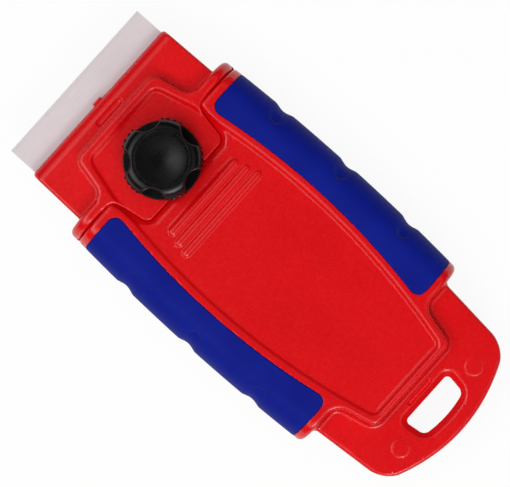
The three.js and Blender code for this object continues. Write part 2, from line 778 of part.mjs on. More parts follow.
function clampNut() {
  return cut(hexagon(NUT_WIDTH, nutBottom, nutTop), rod(BOLT_DIAMETER + BOLT_FIT, -PAST, bladePlane));
}

// A pan-head screw that points up, with a cross in its head
function caseScrew({ bottom, top }) {
  const start = bottom + SCREW_SINK;
  const seat = start + SCREW_HEAD_HEIGHT - SEAT_FIT;
  const head = SCREW_HEAD_DIAMETER / 2;
  const shank = SCREW_DIAMETER / 2;
  const turned = lathed([
    [0, start],
    [0.8 * head, start],
    [head, start + 0.3 * SCREW_HEAD_HEIGHT],
    [head, seat],
    [shank, seat],
    [shank, top - SCREW_TIP],
    [0, top],
  ]);
  const arm = CROSS_LENGTH / 2;
  const thin = CROSS_WIDTH / 2;
  return cut(
    turned,
    block(-arm, arm, -thin, thin, start - PAST, start + CROSS_DEPTH),
    block(-thin, thin, -arm, arm, start - PAST, start + CROSS_DEPTH),
  );
}

const redPlastic = () => {
  return new THREE.MeshStandardMaterial({ color: 0xdd181f, roughness: 0.4, metalness: 0 });
};
const softBlue = () => {
  return new THREE.MeshStandardMaterial({ color: 0x101e87, roughness: 0.7, metalness: 0 });
};
const blackPlastic = () => {
  return new THREE.MeshStandardMaterial({ color: 0x161617, roughness: 0.35, metalness: 0 });
};
const steel = () => {
  return new THREE.MeshStandardMaterial({ color: 0xd9d0d3, roughness: 0.3, metalness: 1 });
};

const handle = new THREE.Group();
handle.add(meshOf("handle_top_shell", topShell(), redPlastic()));
handle.add(meshOf("handle_bottom_shell", bottomShell(), redPlastic()));
const sides = { left: 1, right: -1 };
for (const [name, side] of Object.entries(sides)) {
  const skin = gripSkin(side);
  const upper = skin.intersect(above(bladePlane + SHELL_GAP / 2));
  const lower = skin.intersect(below(bladePlane - SHELL_GAP / 2));
  handle.add(meshOf(`upper_${name}_grip`, upper, softBlue()));
  handle.add(meshOf(`lower_${name}_grip`, lower, softBlue()));
}
screwPlaces.forEach((place, i) => {
  const screw = meshOf(`case_screw_${i + 1}`, caseScrew(place), steel());
  screw.position.set(place.x, place.y, 0);
  handle.add(screw);
});
const nut = meshOf("clamp_nut", clampNut(), steel());
nut.position.x = boltX;
handle.add(nut);

const jaw = new THREE.Group();
jaw.add(meshOf("clamp_jaw", clampJaw(), redPlastic()));
const washer = meshOf("clamp_washer", clampWasher(), steel());
washer.position.x = boltX;
jaw.add(washer);

const knob = new THREE.Group();
knob.position.x = boltX;
knob.add(meshOf("knob", clampKnob(), blackPlastic()));
knob.add(meshOf("knob_cap", knobCap(), blackPlastic()));
knob.add(meshOf("knob_bolt", clampBolt(), steel()));

const razor = new THREE.Group();
razor.add(meshOf("blade", bladeStrip(), steel()));
razor.add(meshOf("blade_spine", bladeSpine(), steel()));

const scraper = new THREE.Group();
scraper.add(handle, jaw, knob, razor);
scraper.position.x = -(edgeTip + tailEnd) / 2;

export default scraper;
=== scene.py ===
import json
import math

import bpy
import numpy as np
import openvdb
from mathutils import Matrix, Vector


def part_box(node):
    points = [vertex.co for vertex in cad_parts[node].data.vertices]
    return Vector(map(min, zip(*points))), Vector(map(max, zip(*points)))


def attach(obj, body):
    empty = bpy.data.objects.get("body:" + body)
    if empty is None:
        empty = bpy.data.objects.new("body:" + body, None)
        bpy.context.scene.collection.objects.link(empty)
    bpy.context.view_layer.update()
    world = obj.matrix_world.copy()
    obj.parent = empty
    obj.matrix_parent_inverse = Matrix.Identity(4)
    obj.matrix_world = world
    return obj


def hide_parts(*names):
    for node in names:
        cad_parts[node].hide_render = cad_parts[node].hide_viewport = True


# A hand scraper with a clamped razor blade. The moulded pieces are written as distance fields in
# millimetres, negative inside, and meshed; each replaces the CAD node that it stands for.
# +X points to the cutting edge, +Y to the left and +Z up to the knob.

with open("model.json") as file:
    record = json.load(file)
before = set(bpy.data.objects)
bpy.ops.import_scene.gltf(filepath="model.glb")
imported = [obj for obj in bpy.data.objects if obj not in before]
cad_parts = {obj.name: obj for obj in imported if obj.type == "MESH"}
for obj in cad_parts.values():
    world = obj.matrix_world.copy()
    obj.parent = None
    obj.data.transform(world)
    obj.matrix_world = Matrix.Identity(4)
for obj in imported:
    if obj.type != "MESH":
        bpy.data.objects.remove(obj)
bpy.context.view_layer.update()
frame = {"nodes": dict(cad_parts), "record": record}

MM = 0.001


def span(node):
    """Lowest and highest corner of a CAD node in millimetres, X from the middle of the grips"""
    low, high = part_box(node)
    return np.array(low) / MM - plan_origin, np.array(high) / MM - plan_origin


plan_origin = np.zeros(3)
grip_low, grip_high = span("upper_left_grip")
plan_origin[0] = (grip_low[0] + grip_high[0]) / 2
shell_low, shell_high = span("handle_top_shell")
_, sole_high = span("handle_bottom_shell")
jaw_low, jaw_high = span("clamp_jaw")
blade_low, blade_high = span("blade")
spine_low, spine_high = span("blade_spine")
knob_low, knob_high = span("knob")
cap_low, cap_high = span("knob_cap")
nut_low, nut_high = span("clamp_nut")
_, bolt_high = span("knob_bolt")

# Handle
HANDLE_HALF = 25.1
SIDE_BOW = 940
SIDE_ROUND = 6
FOOT = 0.4
FLANGE = 1.7
PARTING_ROUND = 0.2
SHELL_EDGE = 1.1
FRONT_EDGE = 0.8
SHELL_FIT = 0.02

# Soft grips
GRIP_SKIN = 1.5
GRIP_SETBACK = 0.35
GRIP_INNER = 16.6
GRIP_BOW = 312
GRIP_BOW_CENTRE = 1.7
GRIP_CORNER = 2.5
GRIP_EDGE = 0.25
NOTCH_COUNT = 3
NOTCH_PITCH = 17.5
NOTCH_RADIUS = 2.5
NOTCH_DEPTH = 0.48
NOTCH_REACH = 2.8
NOTCH_END_ROUND = 0.6
NOTCH_SHOULDER = 0.7
DENT_INSET = 2.8
DENT_RADIUS = 1.45
DENT_DEPTH = 0.85
DENT_EDGE = 0.5

# Sunk panel and its ridges
PANEL_RECESS = 0.8
PANEL_SLOPE = 1.1
FRAME_STRIP = 1
PANEL_CORNER = 0.8
FLOOR_EDGE = 0.4
PANEL_RIM_ROUND = 0.45
RIDGE_COUNT = 3
RIDGE_PITCH = 2.5
RIDGE_HALF = 0.95
RIDGE_HEIGHT = 0.4
RIDGE_LENGTH = 20.8
RIDGE_GROWTH = 1.4
RIDGE_SETBACK = 4.8

# Step and tail
STEP_LENGTH = 9
STEP_ROOT_HALF = 13.6
STEP_END_HALF = 11.45
STEP_CORNER = 1.5
STEP_FILLET = 2.2
FOOT_FILLET = 1.2
TAIL_HALF_THICKNESS = 3.2
TAIL_ROOT_HALF = 20.2
TAIL_END_HALF = 18.65
TAIL_END_BOW = 5
TAIL_CORNER = 3.2
TAIL_EDGE = 0.8
SLOT_EDGE = 4.4
SLOT_LENGTH = 5.5
SLOT_HALF = 6.55
SLOT_END_HALF = 5.9
SLOT_BOW = 0.7
SLOT_CORNER = 1.1
SLOT_CHAMFER = 1.45
SLOT_SINK = 0.95
SLOT_DRAFT = 0.13
TAIL_BAR_SETBACK = 1.85
TAIL_BAR_HALF_LENGTH = 3.6
TAIL_BAR_HALF = 0.55
BAR_DEPTH = 0.4
MARK_RADIUS = 2.05
MARK_RISE = 0.09
MARK_EDGE = 0.45

# Jaws
JAW_GAP = 0.5
EAR_GAP = 0.12
GROOVE_GAP = 0.06
GROOVE_DEPTH = 0.9
GROOVE_MOUTH = 0.45
EAR = 2.05
JAW_EDGE = 1
HEAD_ROOT_HALF = 20.5
HEAD_FRONT_HALF = 20.1
HEAD_CORNER = 0.8
HEAD_EDGE = 0.7
HEAD_RISE = 3.6
HEAD_LIP = 2.2
HEAD_BEVEL = 1.7
HEAD_BEVEL_ROUND = 0.55
HEAD_BAR_HALF_LENGTH = 3.75
HEAD_BAR_HALF = 0.8
TAB_REACH = 0.5
TAB_HALF = 1.1
NOSE_LENGTH = 8.8
NOSE_FRONT_HALF = 11.7
NOSE_ROOT_HALF = 13.65
NOSE_CORNER = 1.7
NOSE_FILLET = 2.2
NOSE_RIM = 1.4
NOSE_SLOPE = 1.4
NOSE_FOOT = 0.5
TONGUE_ROOT_HALF = 13.1
TONGUE_END_HALF = 11.5
TONGUE_CORNER = 1.6
TONGUE_FILLET = 2
POCKET_FRONT_HALF = 9.6
POCKET_ROOT_HALF = 11.8
POCKET_TONGUE_HALF = 13.5
POCKET_CORNER = 0.8
LOWER_JAW_DROP = 5.6
LOWER_JAW_LIP = 1.5
BLADE_ROOM = 0.06
BLADE_TRAVEL = 3
SIDE_ROOM = 0.2

# Clamp and screws
BOLT_RADIUS = 2
BOLT_ROOM = 0.15
BOLT_HEAD = 2.8
NUT_FLATS = 7
NUT_WALL = 2
HEX_ROOM = 0.15
KNOB_RADIUS = 8.1
KNOB_FLANGE = 1.2
KNOB_TOP_ROUND = 2
FLANGE_FILLET = 0.4
KNOB_LOBES = 5
KNOB_CLOCK = 10
SCALLOP_RADIUS = 3.3
SCALLOP_DEPTH = 1.9
SCALLOP_EDGE = 0.35
SCALLOP_LEAN = -0.09
TEETH_PER_LOBE = 4
TOOTH_PITCH = 9.5
TOOTH_HEIGHT = 0.36
TOOTH_TOP = 5.6
TOOTH_FADE = 0.25
SEAM_DEPTH = 0.02
SEAM_HALF = 0.35
CAP_DISH = 0.6
SEAM = 0.02
SCREW_HEAD_RADIUS = 2.1
SCREW_HEAD_ROOM = 0.15

# Places along the tool and heights
grip_reach = grip_high[0] - GRIP_SETBACK
handle_front = grip_high[0] + FLANGE
handle_rear = -handle_front
step_rear = handle_rear - STEP_LENGTH
tail_end = shell_low[0]
slot_rear = tail_end + SLOT_EDGE
slot_front = slot_rear + SLOT_LENGTH
ear_rear = handle_front + JAW_GAP
ear_front = ear_rear + EAR
nose_front = ear_front + NOSE_LENGTH
head_front = sole_high[0]
tongue_rear = jaw_low[0]
bolt_x = (nut_low[0] + nut_high[0]) / 2
blade_plane = (blade_low[2] + blade_high[2]) / 2
handle_top = shell_high[2]
half_height = handle_top - blade_plane
panel_top = handle_top - PANEL_RECESS
tail_top = blade_plane + TAIL_HALF_THICKNESS
head_top = blade_plane + HEAD_RISE
bed_top = blade_low[2] - BLADE_ROOM


# Distance fields
# The two scales keep a field's slope below one where a floor or a tooth is steep
LEAST_HEIGHT = 0.001
FLOOR_FIELD_SCALE = 0.8
TOOTH_FIELD_SCALE = 0.85


def union(a, b, fillet=0.0):
    """Joined shapes, with a concave fillet where they meet"""
    if not fillet:
        return np.minimum(a, b)
    near = np.hypot(np.maximum(fillet - a, 0), np.maximum(fillet - b, 0))
    return np.maximum(fillet, np.minimum(a, b)) - near


def overlap(a, b, edge=0.0):
    """What two shapes share, with a rounded edge where they meet"""
    if not edge:
        return np.maximum(a, b)
    near = np.hypot(np.maximum(edge + a, 0), np.maximum(edge + b, 0))
    return np.minimum(-edge, np.maximum(a, b)) + near


def cut(a, b, edge=0.0):
    return overlap(a, -b, edge)


def beside(x, y, front, rear):
    """Distance outside a straight side of a mirrored plan, from (x, half width) to (x, half width)"""
    (x0, half0), (x1, half1) = front, rear
    length = math.hypot(x0 - x1, half1 - half0)
    return ((x - x0) * (half1 - half0) + (np.abs(y) - half0) * (x0 - x1)) / length


def slab(x, low, high):
    return np.maximum(low - x, x - high)


def plan_bar(x, y, centre, half, half_length):
    """A bar with round ends that lies across the tool, seen from above"""
    past = np.maximum(np.abs(y) - half_length + half, 0)
    return np.hypot(x - centre, past) - half


def smooth(share):
    share = np.clip(share, 0, 1)
    return share * share * (3 - 2 * share)


def swelling(bar, half):
    """Height of a round-backed bar as a share of its full height"""
    return 1 - np.clip(bar / half + 1, 0, 1) ** 2


def side_half(x):
    return HANDLE_HALF - x * x / SIDE_BOW


def grip_inner(x):
    return GRIP_INNER - (x - GRIP_BOW_CENTRE) ** 2 / GRIP_BOW


def section(x, y, z, inset=0.0):
    """The round-sided bar that the whole handle is shaped from, without ends"""
    across = np.maximum(np.abs(y) - side_half(x) + SIDE_ROUND, 0)
    up = np.maximum(np.abs(z - blade_plane), LEAST_HEIGHT)
    wide = SIDE_ROUND - inset
    high = half_height - inset
    near = np.hypot(across / wide, up / high)
    steep = np.hypot(across / wide**2, up / high**2)
    return near * (near - 1) / steep


def grip_plan(x, y, side, fit):
    inner = grip_inner(x) - side * y - fit
    return overlap(inner, np.abs(x) - grip_reach - fit, GRIP_CORNER)


def step_plan(x, y):
    sides = beside(x, y, (handle_rear, STEP_ROOT_HALF), (step_rear, STEP_END_HALF))
    step = overlap(sides, step_rear - x, STEP_CORNER)
    return np.maximum(step, x - handle_rear - STEP_FILLET)


def tail_plan(x, y):
    sides = beside(x, y, (handle_rear, TAIL_ROOT_HALF), (tail_end + TAIL_END_BOW, TAIL_END_HALF))
    bow = TAIL_END_BOW / TAIL_END_HALF**2
    end = (tail_end + bow * y * y - x) / np.hypot(1, 2 * bow * y)
    tail = overlap(sides, end, TAIL_CORNER)
    return np.maximum(tail, x - handle_rear - STEP_FILLET)


def slot_plan(x, y):
    rear_corner = slot_rear + SLOT_BOW
    sides = beside(x, y, (slot_front, SLOT_HALF), (rear_corner, SLOT_END_HALF))
    bow = SLOT_BOW / SLOT_END_HALF**2
    end = (slot_rear + bow * y * y - x) / np.hypot(1, 2 * bow * y)
    return overlap(overlap(sides, x - slot_front, SLOT_CORNER), end, SLOT_CORNER)


def panel_plan(x, y):
    sides = np.abs(y) - grip_inner(x) + FRAME_STRIP + PANEL_SLOPE
    return overlap(sides, step_rear + FRAME_STRIP + PANEL_SLOPE - x, PANEL_CORNER)


def pocket_plan(x, y):
    front = nose_front - NOSE_RIM - NOSE_SLOPE
    nose = beside(x, y, (front, POCKET_FRONT_HALF), (ear_rear, POCKET_ROOT_HALF))
    tongue = beside(x, y, (ear_rear, POCKET_ROOT_HALF), (tongue_rear, POCKET_TONGUE_HALF))
    return overlap(np.maximum(nose, tongue), (x - front) * PANEL_SLOPE / NOSE_SLOPE, POCKET_CORNER)


def sunk_floor(outside):
    """Height of a sunk floor and the slope that leads up out of it"""
    return panel_top + PANEL_RECESS * smooth((outside + FLOOR_EDGE / 2) / (PANEL_SLOPE + FLOOR_EDGE))


def jaw_plan(x, y):
    nose = overlap(
        beside(x, y, (nose_front, NOSE_FRONT_HALF), (ear_front, NOSE_ROOT_HALF)),
        x - nose_front,
        NOSE_CORNER,
    )
    middle = (ear_rear + ear_front) / 2
    ears = slab(x, handle_front + EAR_GAP, ear_front) + 0 * y
    front = union(np.maximum(nose, middle - x), ears, NOSE_FILLET)
    return union(front, np.maximum(tongue_plan(x, y, 0), x - middle), TONGUE_FILLET)


def tongue_plan(x, y, fit):
    sides = beside(x, y, (ear_rear, TONGUE_ROOT_HALF), (tongue_rear, TONGUE_END_HALF))
    return overlap(sides - fit, tongue_rear - x - fit, TONGUE_CORNER + fit)


def handle_form(x, y, z):
    """The outside of both shells together, without what is cut into it"""
    plan = union(handle_rear - x + 0 * y, step_plan(x, y), STEP_FILLET)
    bar = overlap(section(x, y, z), plan, SHELL_EDGE)
    bar = overlap(bar, x - handle_front, FRONT_EDGE)
    tail = overlap(tail_plan(x, y), np.abs(z - blade_plane) - TAIL_HALF_THICKNESS, TAIL_EDGE)
    return union(bar, tail, FOOT_FILLET)


def grip_beds(x, y, z):
    beds = np.minimum(grip_plan(x, y, 1, SHELL_FIT), grip_plan(x, y, -1, SHELL_FIT))
    return cut(beds, section(x, y, z, GRIP_SKIN + SHELL_FIT))


def slot_cut(x, y, z):
    """The hang slot with its sloped mouth on top and below"""
    plan = slot_plan(x, y) - SLOT_DRAFT * (tail_top - SLOT_SINK - z)
    sink = TAIL_HALF_THICKNESS - np.abs(z - blade_plane)
    slant = math.hypot(SLOT_SINK, SLOT_CHAMFER)
    mouth = (plan * SLOT_SINK - (SLOT_SINK - sink) * SLOT_CHAMFER) / slant
    return union(plan, np.maximum(mouth, -sink - SLOT_SINK))


def tail_mark(x, y, z):
    """The two round marks that stand up a little from the tail"""
    screw_low, screw_high = span("case_screw_3")
    middle = (screw_low + screw_high) / 2
    past = np.hypot(x - middle[0], np.abs(y) - abs(middle[1])) - MARK_RADIUS
    top = tail_top + MARK_RISE * smooth(-past / MARK_EDGE)
    return np.maximum(np.maximum(past, z - top), blade_plane - z)


def top_shell(x, y, z):
    shell = handle_form(x, y, z)
    mouth = np.clip((z - panel_top) / GROOVE_DEPTH + 1, 0, 1) * (GROOVE_MOUTH - GROOVE_GAP)
    opening = tongue_plan(x, y, GROOVE_GAP) - mouth
    floor = sunk_floor(panel_plan(x, y))
    for i in range(RIDGE_COUNT):
        half_length = (RIDGE_LENGTH + RIDGE_GROWTH * i) / 2
        ridge = plan_bar(x, y, tongue_rear - RIDGE_SETBACK - RIDGE_PITCH * i, RIDGE_HALF, half_length)
        floor = np.maximum(floor, panel_top + RIDGE_HEIGHT * swelling(ridge, RIDGE_HALF))
    shell = overlap(shell, (z - floor) * FLOOR_FIELD_SCALE, PANEL_RIM_ROUND)
    bar = plan_bar(x, y, slot_front + TAIL_BAR_SETBACK, TAIL_BAR_HALF, TAIL_BAR_HALF_LENGTH)
    sunk = z - tail_top + BAR_DEPTH * swelling(bar, TAIL_BAR_HALF)
    shell = np.maximum(shell, np.minimum(sunk, -bar))
    shell = union(shell, tail_mark(x, y, z))
    shell = cut(shell, slot_cut(x, y, z), PARTING_ROUND)
    shell = cut(shell, opening, JAW_EDGE)
    shell = np.maximum(shell, -grip_beds(x, y, z))
    return overlap(shell, shell_low[2] - z, PARTING_ROUND)


def clamp_jaw(x, y, z):
    sides = beside(x, y, (head_front, HEAD_FRONT_HALF), (ear_rear, HEAD_ROOT_HALF))
    plan = overlap(sides, x - head_front, HEAD_CORNER)
    lip = blade_plane + HEAD_LIP
    drop = HEAD_RISE - HEAD_LIP
    bevel = ((x - head_front) * drop + (z - lip) * HEAD_BEVEL) / math.hypot(drop, HEAD_BEVEL)
    plate = overlap(plan, overlap(z - head_top, bevel, HEAD_BEVEL_ROUND), HEAD_EDGE)
    plate = np.maximum(plate, ear_rear - x)
    bar_x = (nose_front + head_front - HEAD_BEVEL) / 2
    bar = plan_bar(x, y, bar_x, HEAD_BAR_HALF, HEAD_BAR_HALF_LENGTH)
    plate = np.maximum(plate, z - head_top + BAR_DEPTH * swelling(bar, HEAD_BAR_HALF))
    block = overlap(section(x, y, z), jaw_plan(x, y), JAW_EDGE)
    jaw = union(plate, block, NOSE_FOOT)
    floor = sunk_floor(pocket_plan(x, y))
    jaw = overlap(jaw, (z - floor) * FLOOR_FIELD_SCALE, FLOOR_EDGE)
    tab = np.maximum(slab(x, head_front - TAB_REACH, jaw_high[0]), np.abs(y) - TAB_HALF)
    tab = overlap(tab, z - lip + BAR_DEPTH, PARTING_ROUND)
    jaw = union(jaw, tab)
    bore = np.hypot(x - bolt_x, y) - BOLT_RADIUS - BOLT_ROOM
    jaw = np.maximum(jaw, -bore)
    jaw = overlap(jaw, jaw_low[2] - z, PARTING_ROUND)
    return np.maximum(jaw, -spine_room(x, y, z))


def spine_room(x, y, z):
    """The hollow between the jaws that the blade's folded back slides in"""
    along = slab(x, spine_low[0] - BLADE_TRAVEL - SIDE_ROOM, spine_high[0] + SIDE_ROOM)
    across = np.abs(y) - spine_high[1] - SIDE_ROOM
    up = slab(z, spine_low[2] - BLADE_ROOM, spine_high[2] + BLADE_ROOM)
    return np.maximum(np.maximum(along, across), up)


def hexagon(x, y, half_flats):
    turns = [math.radians(angle) for angle in (0, 60, 120)]
    faces = [np.abs(x * math.cos(turn) + y * math.sin(turn)) for turn in turns]
    return np.maximum(np.maximum(faces[0], faces[1]), faces[2]) - half_flats


def bottom_shell(x, y, z):
    shell = handle_form(x, y, z)
    sole_sides = np.abs(y) - grip_inner(x) + FRAME_STRIP
    sole_ends = slab(x, step_rear + FRAME_STRIP, handle_front - FLANGE)
    sole = overlap(overlap(sole_sides, sole_ends, STEP_CORNER), -z, PARTING_ROUND)
    sole = np.maximum(sole, z - blade_plane)
    shell = union(shell, sole)
    sides = beside(x, y, (head_front, HEAD_FRONT_HALF), (ear_rear, HEAD_ROOT_HALF))
    plan = overlap(sides, x - head_front, HEAD_CORNER)
    root = handle_front - FLANGE / 2
    rise = LOWER_JAW_DROP - LOWER_JAW_LIP
    run = head_front - root
    slope = ((x - root) * rise - (z - blade_plane + LOWER_JAW_DROP) * run) / math.hypot(rise, run)
    jaw = overlap(np.maximum(plan, root - x), slope, HEAD_EDGE)
    ears = overlap(section(x, y, z), slab(x, handle_front - JAW_GAP, ear_front), JAW_EDGE)
    jaw = union(jaw, ears, NOSE_FOOT)
    shell = union(shell, jaw)
    place = np.hypot(x - bolt_x, y)
    boss = overlap(place - NUT_FLATS / math.sqrt(3) - NUT_WALL, FOOT - z, SHELL_EDGE)
    shell = union(shell, np.maximum(boss, z - blade_plane), JAW_GAP)
    shell = overlap(shell, z - sole_high[2], PARTING_ROUND)
    bed = np.maximum(np.abs(y) - spine_high[1] - SIDE_ROOM, bed_top - z)
    bed = np.maximum(bed, spine_low[0] - BLADE_TRAVEL - SIDE_ROOM - x)
    shell = np.maximum(shell, -bed)
    shell = np.maximum(shell, -spine_room(x, y, z))
    nut_room = hexagon(x - bolt_x, y, NUT_FLATS / 2 + HEX_ROOM)
    nut_room = np.maximum(nut_room, z - nut_high[2] - HEX_ROOM)
    shell = cut(shell, nut_room, PARTING_ROUND)
    shell = np.maximum(shell, BOLT_RADIUS + BOLT_ROOM - place)
    for screw in ("case_screw_1", "case_screw_3"):
        screw_low, screw_high = span(screw)
        middle = (screw_low + screw_high) / 2
        reach = np.hypot(x - middle[0], np.abs(y) - abs(middle[1]))
        well = reach - SCREW_HEAD_RADIUS - SCREW_HEAD_ROOM
        well = np.maximum(well, z - screw_low[2] - SCREW_HEAD_RADIUS)
        shell = cut(shell, well, PARTING_ROUND)
    shell = cut(shell, slot_cut(x, y, z), PARTING_ROUND)
    return np.maximum(shell, -grip_beds(x, y, z))


def grip_skin(x, y, z, side):
    skin = overlap(section(x, y, z), grip_plan(x, y, side, 0), GRIP_EDGE)
    skin = np.maximum(skin, -section(x, y, z, GRIP_SKIN))
    wide = SIDE_ROUND + NOTCH_RADIUS - NOTCH_DEPTH
    high = half_height + NOTCH_RADIUS - NOTCH_DEPTH
    up = np.maximum(np.abs(z - blade_plane), LEAST_HEIGHT)
    reach = SIDE_ROUND - DENT_INSET
    rise = half_height * math.sqrt(1 - (reach / SIDE_ROUND) ** 2)
    lean_out, lean_up = reach / SIDE_ROUND**2, rise / half_height**2
    lift = (DENT_RADIUS - DENT_DEPTH) / math.hypot(lean_out, lean_up)
    for i in range(NOTCH_COUNT):
        place = NOTCH_PITCH * (i - (NOTCH_COUNT - 1) / 2)
        across = np.maximum(side * y - side_half(place) + SIDE_ROUND, 0)
        near = np.hypot(across / wide, up / high)
        steep = np.hypot(across / wide**2, up / high**2)
        notch = np.hypot(near * (near - 1) / steep, x - place) - NOTCH_RADIUS
        notch = overlap(notch, side_half(place) - NOTCH_REACH - side * y, NOTCH_END_ROUND)
        skin = cut(skin, notch, NOTCH_SHOULDER)
        out = side * y - side_half(place) + DENT_INSET - lift * lean_out
        dent = np.hypot(np.hypot(x - place, out), up - rise - lift * lean_up) - DENT_RADIUS
        skin = cut(skin, dent, DENT_EDGE)
    return skin


def upper_grip(side):
    return lambda x, y, z: overlap(grip_skin(x, y, z, side), shell_low[2] - z, PARTING_ROUND)


def lower_grip(side):
    return lambda x, y, z: overlap(grip_skin(x, y, z, side), z - sole_high[2], PARTING_ROUND)


def knob(x, y, z):
    radius = np.hypot(x - bolt_x, y)
    turn = np.degrees(np.arctan2(y, x - bolt_x)) - KNOB_CLOCK
    lobe = 360 / KNOB_LOBES
    off_lobe = (turn + lobe / 2) % lobe - lobe / 2
    off_scallop = np.radians(turn % lobe - lobe / 2)
    wave = 0.5 - 0.5 * np.cos(np.radians(360 * (off_lobe / TOOTH_PITCH + TEETH_PER_LOBE / 2)))
    teeth = np.where(np.abs(off_lobe) < TOOTH_PITCH * TEETH_PER_LOBE / 2, np.sqrt(wave), 0)
    teeth = teeth * smooth((knob_low[2] + TOOTH_TOP - z) / TOOTH_FADE)
    side = (radius - KNOB_RADIUS - TOOTH_HEIGHT * teeth) * TOOTH_FIELD_SCALE
    rim = cap_high[0] - bolt_x
    body = overlap(side, z - knob_high[2] + seam_dip(radius - rim), KNOB_TOP_ROUND)
    axis = KNOB_RADIUS - SCALLOP_DEPTH + SCALLOP_RADIUS + (knob_high[2] - z) * SCALLOP_LEAN
    along = radius * np.cos(off_scallop) - axis
    scallop = np.hypot(along, radius * np.sin(off_scallop)) - SCALLOP_RADIUS
    body = cut(body, scallop, SCALLOP_EDGE)
    flange = overlap(radius - KNOB_RADIUS, z - knob_low[2] - KNOB_FLANGE, PARTING_ROUND)
    body = overlap(union(body, flange, FLANGE_FILLET), knob_low[2] - z, PARTING_ROUND)
    well = np.maximum(radius - rim - SEAM, cap_low[2] - z)
    body = np.maximum(body, -well)
    bore = np.maximum(radius - BOLT_RADIUS - BOLT_ROOM, -z)
    head_room = slab(z, bolt_high[2] - BOLT_HEAD, cap_low[2])
    head = np.maximum(hexagon(x - bolt_x, y, NUT_FLATS / 2 + HEX_ROOM), head_room)
    return np.maximum(body, -np.minimum(bore, head))


def seam_dip(past):
    """Depth of the soft groove round the cap"""
    return SEAM_DEPTH * smooth(1 - np.abs(past) / SEAM_HALF)


def knob_cap(x, y, z):
    radius = np.hypot(x - bolt_x, y)
    rim = cap_high[0] - bolt_x
    dish = cap_high[2] - CAP_DISH * (1 - smooth(radius / rim)) - seam_dip(radius - rim)
    return np.maximum(np.maximum(radius - rim, z - dish), cap_low[2] - z)


ADAPTIVITY = 0.02
BAND_VOXELS = 3
SPARE_VOXELS = 4
SETTLE_PASSES = 2
LEAST_SLOPE = 0.25


def meshed(name, field, node, voxel):
    """A smooth mesh of a field's surface within the box of a CAD node"""
    box_low, box_high = span(node)
    band = BAND_VOXELS * voxel
    low = box_low - band
    counts = np.ceil((box_high - low) / voxel).astype(int) + SPARE_VOXELS
    axes = [(low[i] + voxel * np.arange(counts[i])).astype(np.float32) for i in range(3)]
    x, y, z = axes[0][:, None, None], axes[1][None, :, None], axes[2][None, None, :]
    values = np.zeros(counts, np.float32)
    values += np.clip(field(x, y, z), -band, band)
    grid = openvdb.FloatGrid(band)
    grid.copyFromArray(values)
    points, triangles, quads = grid.convertToPolygons(isovalue=0, adaptivity=ADAPTIVITY)
    points = low + voxel * points.astype(float)
    step = voxel / 2
    for _ in range(SETTLE_PASSES):
        slope = gradient(field, points, step)
        steep = np.maximum((slope**2).sum(1), LEAST_SLOPE)
        move = (field(*points.T) / steep)[:, None] * slope
        points -= np.clip(move, -step, step)
    points = np.clip(points, box_low, box_high)
    normals = gradient(field, points, step)
    normals /= np.linalg.norm(normals, axis=1)[:, None]
    faces = [*triangles.tolist(), *quads.tolist()]
    mesh = bpy.data.meshes.new(name)
    mesh.from_pydata((points + plan_origin) * MM, [], faces)
    mesh.validate()
    mesh.shade_smooth()
    mesh.normals_split_custom_set_from_vertices(normals.tolist())
    piece = bpy.data.objects.new(name, mesh)
    bpy.context.scene.collection.objects.link(piece)
    return piece


def gradient(field, points, step):
    slopes = []
    for axis in range(3):
        ahead, behind = points.copy(), points.copy()
        ahead[:, axis] += step
        behind[:, axis] -= step
        slopes.append((field(*ahead.T) - field(*behind.T)) / (2 * step))
    return np.stack(slopes, axis=1)


# Materials
NOISE_LOW = 0.3
NOISE_HIGH = 0.7
CLOUD_DETAIL = 3
GRAIN_DETAIL = 2
GRAIN_STRENGTH = 0.5
LINE_SIZE = 4
LINE_DETAIL = 6
LINE_DEPTH = 0.004
LINE_STRENGTH = 0.4


def linear(red, green, blue):
    """A colour written in screen values, as the shaders take it"""
    shares = [value / 255 for value in (red, green, blue)]
    return (*(s / 12.92 if s < 0.04045 else ((s + 0.055) / 1.055) ** 2.4 for s in shares), 1)


def node_material(name):
    material = bpy.data.materials.new(name)
    material.use_nodes = True
    nodes, links = material.node_tree.nodes, material.node_tree.links
    shader = nodes["Principled BSDF"]
    place = nodes.new("ShaderNodeTexCoord").outputs["Object"]
    return material, nodes, links, shader, place


def noise(nodes, links, place, size, detail):
    """Noise whose largest features are about size millimetres"""
    node = nodes.new("ShaderNodeTexNoise")
    node.inputs["Scale"].default_value = 1 / (size * MM)
    node.inputs["Detail"].default_value = detail
    links.new(place, node.inputs["Vector"])
    return node.outputs["Fac"]


def ranged(nodes, links, value, low, high):
    node = nodes.new("ShaderNodeMapRange")
    node.inputs["From Min"].default_value = NOISE_LOW
    node.inputs["From Max"].default_value = NOISE_HIGH
    node.inputs["To Min"].default_value = low
    node.inputs["To Max"].default_value = high
    links.new(value, node.inputs["Value"])
    return node.outputs["Result"]


def shaded(nodes, links, value, dark, light):
    node = nodes.new("ShaderNodeMix")
    node.data_type = "RGBA"
    node.inputs["A"].default_value = dark
    node.inputs["B"].default_value = light
    links.new(value, node.inputs["Factor"])
    return node.outputs["Result"]


def grain(nodes, links, shader, value, depth, strength):
    node = nodes.new("ShaderNodeBump")
    node.inputs["Distance"].default_value = depth * MM
    node.inputs["Strength"].default_value = strength
    links.new(value, node.inputs["Height"])
    links.new(node.outputs["Normal"], shader.inputs["Normal"])


